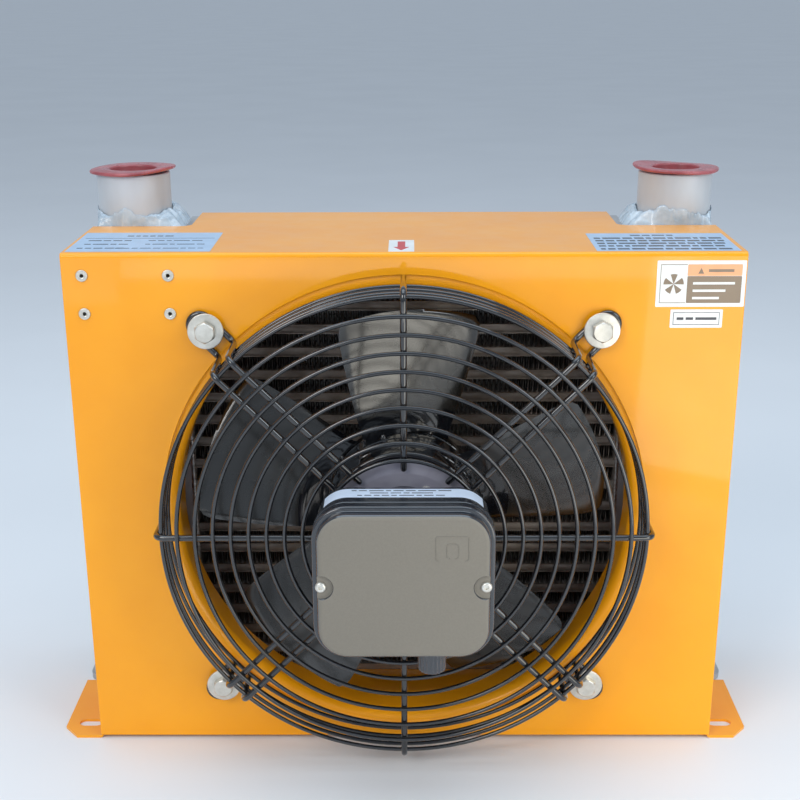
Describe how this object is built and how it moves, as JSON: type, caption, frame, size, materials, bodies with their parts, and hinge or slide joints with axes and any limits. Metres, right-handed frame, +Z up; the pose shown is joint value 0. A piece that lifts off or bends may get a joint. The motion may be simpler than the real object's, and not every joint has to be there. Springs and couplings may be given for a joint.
{
  "type": "hydraulic oil cooler",
  "caption": "Air-blast oil cooler: sheet-steel shroud with a guarded axial fan in front of a bar-and-plate core, two upright oil ports and slotted feet.",
  "frame": {"origin": "middle of the bounding box's base, on the floor", "axes": "+Z up, +Y from the fan side to the core's rear face, +X to the right as seen from the fan side"},
  "size_m": [0.519, 0.2846, 0.408],
  "materials": {
    "orange_paint": "glossy powder coat with a light orange-peel texture",
    "core_aluminium": "brazed, dull grey-brown",
    "tank_aluminium": "matte, as fabricated",
    "port_aluminium": "fine turned and bead-blasted",
    "red_plastic": "soft translucent polyethylene, satin",
    "clear_film": "crumpled clear stretch film",
    "black_coat": "gloss black coating",
    "motor_grey": "satin grey",
    "copper_winding": "varnished windings on laminations",
    "bright_steel": "ground",
    "zinc_plate": "zinc plated",
    "box_plastic": "fine moulded grain",
    "gasket_rubber": "matte",
    "pale_plastic": "satin"
  },
  "bodies": {
    "root": {"front_top_cover": "orange_paint", "bottom_panel": "orange_paint", "inlet_ring": "orange_paint", "left_side_panel": "orange_paint", "right_side_panel": "orange_paint", "core_matrix": "core_aluminium", "core_top_plate": "tank_aluminium", "core_bottom_plate": "tank_aluminium", "left_header_tank": "tank_aluminium", "right_header_tank": "tank_aluminium", "left_core_foot": "tank_aluminium", "right_core_foot": "tank_aluminium", "left_port_boss": "port_aluminium", "right_port_boss": "port_aluminium", "left_port_film": "clear_film", "right_port_film": "clear_film", "fan_guard": "black_coat", "motor_mount_plate": "motor_grey", "stator_end_shield": "motor_grey", "stator_pack": "copper_winding", "front_bearing": "bright_steel", "rear_bearing": "bright_steel", "weld_nut_upper_left": "bright_steel", "weld_nut_lower_left": "bright_steel", "weld_nut_upper_right": "bright_steel", "weld_nut_lower_right": "bright_steel", "left_lid_screw": "zinc_plate", "right_lid_screw": "zinc_plate", "motor_screw_1": "zinc_plate", "motor_screw_2": "zinc_plate", "motor_screw_3": "zinc_plate", "motor_screw_4": "zinc_plate", "guard_bolt_upper_left": "zinc_plate", "guard_bolt_lower_left": "zinc_plate", "guard_bolt_upper_right": "zinc_plate", "guard_bolt_lower_right": "zinc_plate", "guard_washer_upper_left": "zinc_plate", "guard_washer_lower_left": "zinc_plate", "guard_washer_upper_right": "zinc_plate", "guard_washer_lower_right": "zinc_plate", "rivet_nut_1": "zinc_plate", "rivet_nut_2": "zinc_plate", "rivet_nut_3": "zinc_plate", "rivet_nut_4": "zinc_plate", "terminal_box_base": "box_plastic", "terminal_box_lid": "box_plastic", "cable_gland": "box_plastic", "terminal_box_gasket": "gasket_rubber", "terminal_block": "pale_plastic", "run_capacitor": "pale_plastic"},
    "fan_rotor": {"rotor_cup": "black_coat", "rotor_shaft": "bright_steel", "fan_blade_1": "black_coat", "fan_blade_2": "black_coat", "fan_blade_3": "black_coat", "fan_blade_4": "black_coat", "fan_blade_5": "black_coat"},
    "left_plug": {"left_port_plug": "red_plastic"},
    "right_plug": {"right_port_plug": "red_plastic"}
  },
  "joints": [
    {"name": "fan_spin", "type": "hinge", "parent": "root", "child": "fan_rotor", "pos_m": [0, -0.01575, 0.182], "axis": [0, 1, 0], "continuous": true},
    {"name": "left_plug_lift", "type": "slide", "parent": "root", "child": "left_plug", "axis": [0, 0, 1], "range_m": [0, 0.06]},
    {"name": "right_plug_lift", "type": "slide", "parent": "root", "child": "right_plug", "axis": [0, 0, 1], "range_m": [0, 0.06]}
  ]
}
